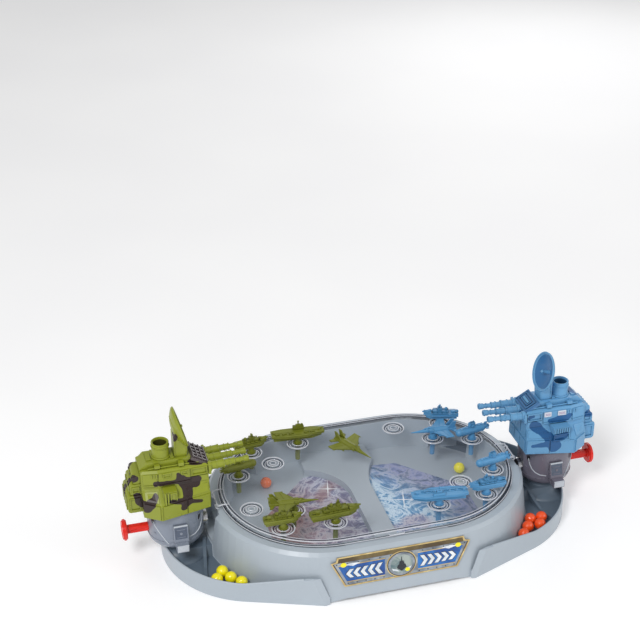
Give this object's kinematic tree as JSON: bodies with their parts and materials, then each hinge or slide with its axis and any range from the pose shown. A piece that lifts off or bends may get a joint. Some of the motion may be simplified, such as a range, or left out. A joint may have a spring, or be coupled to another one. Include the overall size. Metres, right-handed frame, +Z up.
{
  "type": "tabletop marble shooting game",
  "caption": "Two-player tabletop naval game: a covered marble arena between two swivelling plunger turrets, with lift-off ship, submarine and jet targets on pegs.",
  "frame": {"origin": "on the table, under the middle of the clear cover", "axes": "+X towards the blue turret, +Y towards the far side, +Z up"},
  "size_m": [0.467, 0.221, 0.1573],
  "materials": {
    "base_grey": "satin",
    "cover_clear": "polished clear",
    "print_green": "printed sheet",
    "print_blue": "printed sheet",
    "label_print": "printed sheet",
    "green_drum_grey": "satin",
    "blue_drum_grey": "satin",
    "tube_grey": "satin",
    "tube_silver": "silver satin",
    "plunger_red": "gloss",
    "steel": "brushed",
    "green_plastic": "satin",
    "blue_plastic": "satin",
    "olive_plastic": "satin",
    "steel_blue_plastic": "satin",
    "marble_orange": "gloss",
    "marble_yellow": "gloss"
  },
  "bodies": {
    "base": {"base_shell": "base_grey", "clear_cover": "cover_clear", "floor_print_green": "print_green", "floor_print_blue": "print_blue", "front_label": "label_print"},
    "green_turret": {"green_drum": "green_drum_grey", "green_shell": "green_plastic", "green_dish": "green_plastic", "green_gun_block": "green_plastic", "green_launch_tube": "tube_silver", "green_feed_tube": "tube_grey", "green_spring": "steel", "green_pivot_screw": "steel", "green_pivot_washer": "steel", "green_shell_screws": "steel"},
    "blue_turret": {"blue_drum": "blue_drum_grey", "blue_shell": "blue_plastic", "blue_dish": "blue_plastic", "blue_gun_block": "blue_plastic", "blue_launch_tube": "tube_silver", "blue_feed_tube": "tube_grey", "blue_spring": "steel", "blue_pivot_screw": "steel", "blue_pivot_washer": "steel", "blue_shell_screws": "steel"},
    "green_plunger_body": {"green_plunger": "plunger_red"},
    "blue_plunger_body": {"blue_plunger": "plunger_red"},
    "green_carrier_body": {"green_carrier": "olive_plastic"},
    "green_cruiser_body": {"green_cruiser": "olive_plastic"},
    "green_frigate_near_body": {"green_frigate_near": "olive_plastic"},
    "green_frigate_far_body": {"green_frigate_far": "olive_plastic"},
    "green_submarine_body": {"green_submarine": "olive_plastic"},
    "green_jet_body": {"green_jet": "olive_plastic"},
    "green_loose_jet_body": {"green_loose_jet": "olive_plastic"},
    "blue_carrier_body": {"blue_carrier": "steel_blue_plastic"},
    "blue_frigate_near_body": {"blue_frigate_near": "steel_blue_plastic"},
    "blue_frigate_far_body": {"blue_frigate_far": "steel_blue_plastic"},
    "blue_submarine_near_body": {"blue_submarine_near": "steel_blue_plastic"},
    "blue_submarine_far_body": {"blue_submarine_far": "steel_blue_plastic"},
    "blue_jet_body": {"blue_jet": "steel_blue_plastic"},
    "yellow_marble_1_body": {"yellow_marble_1": "marble_yellow"},
    "yellow_marble_2_body": {"yellow_marble_2": "marble_yellow"},
    "yellow_marble_3_body": {"yellow_marble_3": "marble_yellow"},
    "yellow_marble_4_body": {"yellow_marble_4": "marble_yellow"},
    "red_marble_1_body": {"red_marble_1": "marble_orange"},
    "red_marble_2_body": {"red_marble_2": "marble_orange"},
    "red_marble_3_body": {"red_marble_3": "marble_orange"},
    "red_marble_4_body": {"red_marble_4": "marble_orange"},
    "red_marble_5_body": {"red_marble_5": "marble_orange"},
    "arena_marble_red_body": {"arena_marble_red": "marble_orange"},
    "arena_marble_yellow_body": {"arena_marble_yellow": "marble_yellow"}
  },
  "joints": [
    {"name": "green_turret_yaw", "type": "hinge", "parent": "base", "child": "green_turret", "pos_m": [-0.184, 0, 0.02], "axis": [0, 0, 1], "range_deg": [-15, 15]},
    {"name": "green_plunger_pull", "type": "slide", "parent": "green_turret", "child": "green_plunger_body", "axis": [-1, 0, 0], "range_m": [0, 0.014], "stiffness_N_per_m": 60, "deforming": ["green_spring"]},
    {"name": "blue_turret_yaw", "type": "hinge", "parent": "base", "child": "blue_turret", "pos_m": [0.184, 0, 0.02], "axis": [0, 0, 1], "range_deg": [-15, 15]},
    {"name": "blue_plunger_pull", "type": "slide", "parent": "blue_turret", "child": "blue_plunger_body", "axis": [1, 0, 0], "range_m": [0, 0.014], "stiffness_N_per_m": 60, "deforming": ["blue_spring"]},
    {"name": "green_carrier_lift", "type": "slide", "parent": "base", "child": "green_carrier_body", "axis": [0, 0, 1], "range_m": [0, 0.018]},
    {"name": "green_cruiser_lift", "type": "slide", "parent": "base", "child": "green_cruiser_body", "axis": [0, 0, 1], "range_m": [0, 0.018]},
    {"name": "green_frigate_near_lift", "type": "slide", "parent": "base", "child": "green_frigate_near_body", "axis": [0, 0, 1], "range_m": [0, 0.018]},
    {"name": "green_frigate_far_lift", "type": "slide", "parent": "base", "child": "green_frigate_far_body", "axis": [0, 0, 1], "range_m": [0, 0.018]},
    {"name": "green_submarine_lift", "type": "slide", "parent": "base", "child": "green_submarine_body", "axis": [0, 0, 1], "range_m": [0, 0.018]},
    {"name": "green_jet_lift", "type": "slide", "parent": "base", "child": "green_jet_body", "axis": [0, 0, 1], "range_m": [0, 0.018]},
    {"name": "green_loose_jet_lift", "type": "slide", "parent": "base", "child": "green_loose_jet_body", "axis": [0, 0, 1], "range_m": [0, 0.02]},
    {"name": "blue_carrier_lift", "type": "slide", "parent": "base", "child": "blue_carrier_body", "axis": [0, 0, 1], "range_m": [0, 0.018]},
    {"name": "blue_frigate_near_lift", "type": "slide", "parent": "base", "child": "blue_frigate_near_body", "axis": [0, 0, 1], "range_m": [0, 0.018]},
    {"name": "blue_frigate_far_lift", "type": "slide", "parent": "base", "child": "blue_frigate_far_body", "axis": [0, 0, 1], "range_m": [0, 0.018]},
    {"name": "blue_submarine_near_lift", "type": "slide", "parent": "base", "child": "blue_submarine_near_body", "axis": [0, 0, 1], "range_m": [0, 0.018]},
    {"name": "blue_submarine_far_lift", "type": "slide", "parent": "base", "child": "blue_submarine_far_body", "axis": [0, 0, 1], "range_m": [0, 0.018]},
    {"name": "blue_jet_lift", "type": "slide", "parent": "base", "child": "blue_jet_body", "axis": [0, 0, 1], "range_m": [0, 0.018]},
    {"name": "yellow_marble_1_lift", "type": "slide", "parent": "base", "child": "yellow_marble_1_body", "axis": [0, 0, 1], "range_m": [0, 0.02]},
    {"name": "yellow_marble_2_lift", "type": "slide", "parent": "base", "child": "yellow_marble_2_body", "axis": [0, 0, 1], "range_m": [0, 0.02]},
    {"name": "yellow_marble_3_lift", "type": "slide", "parent": "base", "child": "yellow_marble_3_body", "axis": [0, 0, 1], "range_m": [0, 0.02]},
    {"name": "yellow_marble_4_lift", "type": "slide", "parent": "base", "child": "yellow_marble_4_body", "axis": [0, 0, 1], "range_m": [0, 0.02]},
    {"name": "red_marble_1_lift", "type": "slide", "parent": "base", "child": "red_marble_1_body", "axis": [0, 0, 1], "range_m": [0, 0.02]},
    {"name": "red_marble_2_lift", "type": "slide", "parent": "base", "child": "red_marble_2_body", "axis": [0, 0, 1], "range_m": [0, 0.02]},
    {"name": "red_marble_3_lift", "type": "slide", "parent": "base", "child": "red_marble_3_body", "axis": [0, 0, 1], "range_m": [0, 0.02]},
    {"name": "red_marble_4_lift", "type": "slide", "parent": "base", "child": "red_marble_4_body", "axis": [0, 0, 1], "range_m": [0, 0.02]},
    {"name": "red_marble_5_lift", "type": "slide", "parent": "base", "child": "red_marble_5_body", "axis": [0, 0, 1], "range_m": [0, 0.02]},
    {"name": "arena_marble_red_roll", "type": "slide", "parent": "base", "child": "arena_marble_red_body", "axis": [1, 0, 0], "range_m": [-0.015, 0.015]},
    {"name": "arena_marble_yellow_roll", "type": "slide", "parent": "base", "child": "arena_marble_yellow_body", "axis": [1, 0, 0], "range_m": [-0.015, 0.015]}
  ]
}
